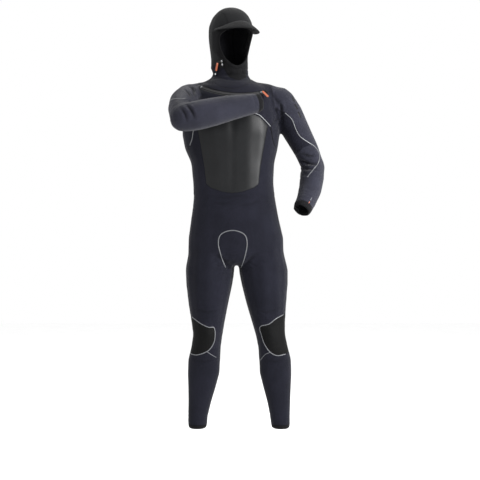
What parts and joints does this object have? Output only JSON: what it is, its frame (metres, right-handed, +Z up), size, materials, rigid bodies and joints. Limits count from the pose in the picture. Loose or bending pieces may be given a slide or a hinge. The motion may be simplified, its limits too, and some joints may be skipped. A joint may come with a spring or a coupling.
{
  "type": "full wetsuit",
  "caption": "Hooded full-length wetsuit in a worn pose, neoprene panels with seam tapes, chest zip with slider and pull, hood drawcord, bending elbows and knees.",
  "frame": {"origin": "the point between the shoulders, inside the chest, where the wearer's body or a hanger holds the suit; 1.515 m above the floor that the wearer stands on", "axes": "+Z up along the body, -Y the wearer's front, +X the wearer's left"},
  "size_m": [0.6437, 0.4608, 1.7443],
  "materials": {
    "jersey": "knitted nylon jersey bonded to foam neoprene, charcoal navy, fine mottle",
    "hood_jersey": "matte stretch jersey on neoprene",
    "black_jersey": "black stretch jersey, matte",
    "smoothskin": "glossy embossed smoothskin neoprene",
    "knee_fabric": "abrasion resistant textured knee pad",
    "seam_tape": "semi-gloss grey liquid seam tape",
    "lining": "quick-dry thermal pile",
    "black_cord": "black woven tape and braided cord",
    "zip_plastic": "moulded zip teeth",
    "hardware_metal": "small corrosion resistant hardware",
    "orange_rubber": "orange moulded rubber tab"
  },
  "bodies": {
    "suit": {"hood_crown_panel": "hood_jersey", "hood_right_side_panel": "hood_jersey", "hood_left_side_panel": "hood_jersey", "hood_visor": "hood_jersey", "hood_lining": "lining", "face_seal": "black_jersey", "chin_gusset": "black_jersey", "collar_panel": "hood_jersey", "upper_cord_eyelet": "hardware_metal", "lower_cord_eyelet": "hardware_metal", "drawcord": "black_cord", "cord_end_bead": "hardware_metal", "shoulder_yoke": "jersey", "upper_chest_panel": "jersey", "chest_smoothskin_panel": "smoothskin", "front_body_panel": "jersey", "back_body_panel": "jersey", "back_smoothskin_panel": "smoothskin", "left_side_panel": "jersey", "right_side_panel": "jersey", "crotch_gusset": "jersey", "torso_lining": "lining", "zip_barrier": "lining", "zip_garage": "black_jersey", "zip_stop": "hardware_metal", "upper_zip_tape": "black_cord", "lower_zip_tape": "black_cord", "zip_teeth": "zip_plastic", "left_upper_sleeve": "jersey", "left_underarm_panel": "jersey", "left_elbow_panel": "jersey", "right_upper_sleeve": "jersey", "right_underarm_panel": "jersey", "right_elbow_panel": "jersey", "left_knee_pad": "knee_fabric", "left_knee_back": "jersey", "right_knee_pad": "knee_fabric", "right_knee_back": "jersey", "chest_tape": "seam_tape", "left_side_tape": "seam_tape", "right_side_tape": "seam_tape", "crotch_tape": "seam_tape", "left_knee_tape": "seam_tape", "right_knee_tape": "seam_tape", "left_sleeve_tape": "seam_tape", "right_sleeve_tape": "seam_tape"},
    "right_forearm": {"right_forearm_panel": "jersey", "right_cuff": "black_jersey"},
    "left_forearm": {"left_forearm_panel": "jersey", "left_cuff": "black_jersey"},
    "right_shin": {"right_shin_panel": "jersey", "right_calf_panel": "jersey", "right_ankle_hem": "black_jersey"},
    "left_shin": {"left_shin_panel": "jersey", "left_calf_panel": "jersey", "left_ankle_hem": "black_jersey"},
    "zip_slider": {"zip_slider": "hardware_metal"},
    "zip_pull": {"zip_pull": "orange_rubber"},
    "drawcord_toggle": {"drawcord_toggle": "orange_rubber"}
  },
  "joints": [
    {"name": "right_elbow", "type": "hinge", "parent": "suit", "child": "right_forearm", "pos_m": [-0.205, -0.266, -0.115], "axis": [-0.1291, -0.4286, 0.8942], "range_deg": [-60, 0], "deforming": ["right_elbow_panel", "right_sleeve_tape"]},
    {"name": "left_elbow", "type": "hinge", "parent": "suit", "child": "left_forearm", "pos_m": [0.322, 0.04, -0.285], "axis": [-0.7606, 0.6027, -0.2412], "range_deg": [-30, 60], "deforming": ["left_elbow_panel", "left_sleeve_tape"]},
    {"name": "right_knee", "type": "hinge", "parent": "suit", "child": "right_shin", "pos_m": [-0.119, -0.004, -0.985], "axis": [1, 0, 0], "range_deg": [0, 60], "deforming": ["right_knee_pad", "right_knee_back", "right_knee_tape"]},
    {"name": "left_knee", "type": "hinge", "parent": "suit", "child": "left_shin", "pos_m": [0.147, -0.004, -0.985], "axis": [1, 0, 0], "range_deg": [0, 60], "deforming": ["left_knee_pad", "left_knee_back", "left_knee_tape"]},
    {"name": "zip_slide", "type": "hinge", "parent": "suit", "child": "zip_slider", "pos_m": [-0.0038, 0.05052, 0.083], "axis": [0.0605, -0.4799, 0.8752], "range_deg": [-82, 0]},
    {"name": "pull_swing", "type": "hinge", "parent": "zip_slider", "child": "zip_pull", "pos_m": [0.10964, -0.07851, 0.01289], "axis": [0.7906, 0.5583, 0.2516], "range_deg": [-75, 0]},
    {"name": "toggle_slide", "type": "slide", "parent": "suit", "child": "drawcord_toggle", "axis": [-0.1796, 0.4455, -0.8771], "range_m": [0, 0.01]}
  ]
}
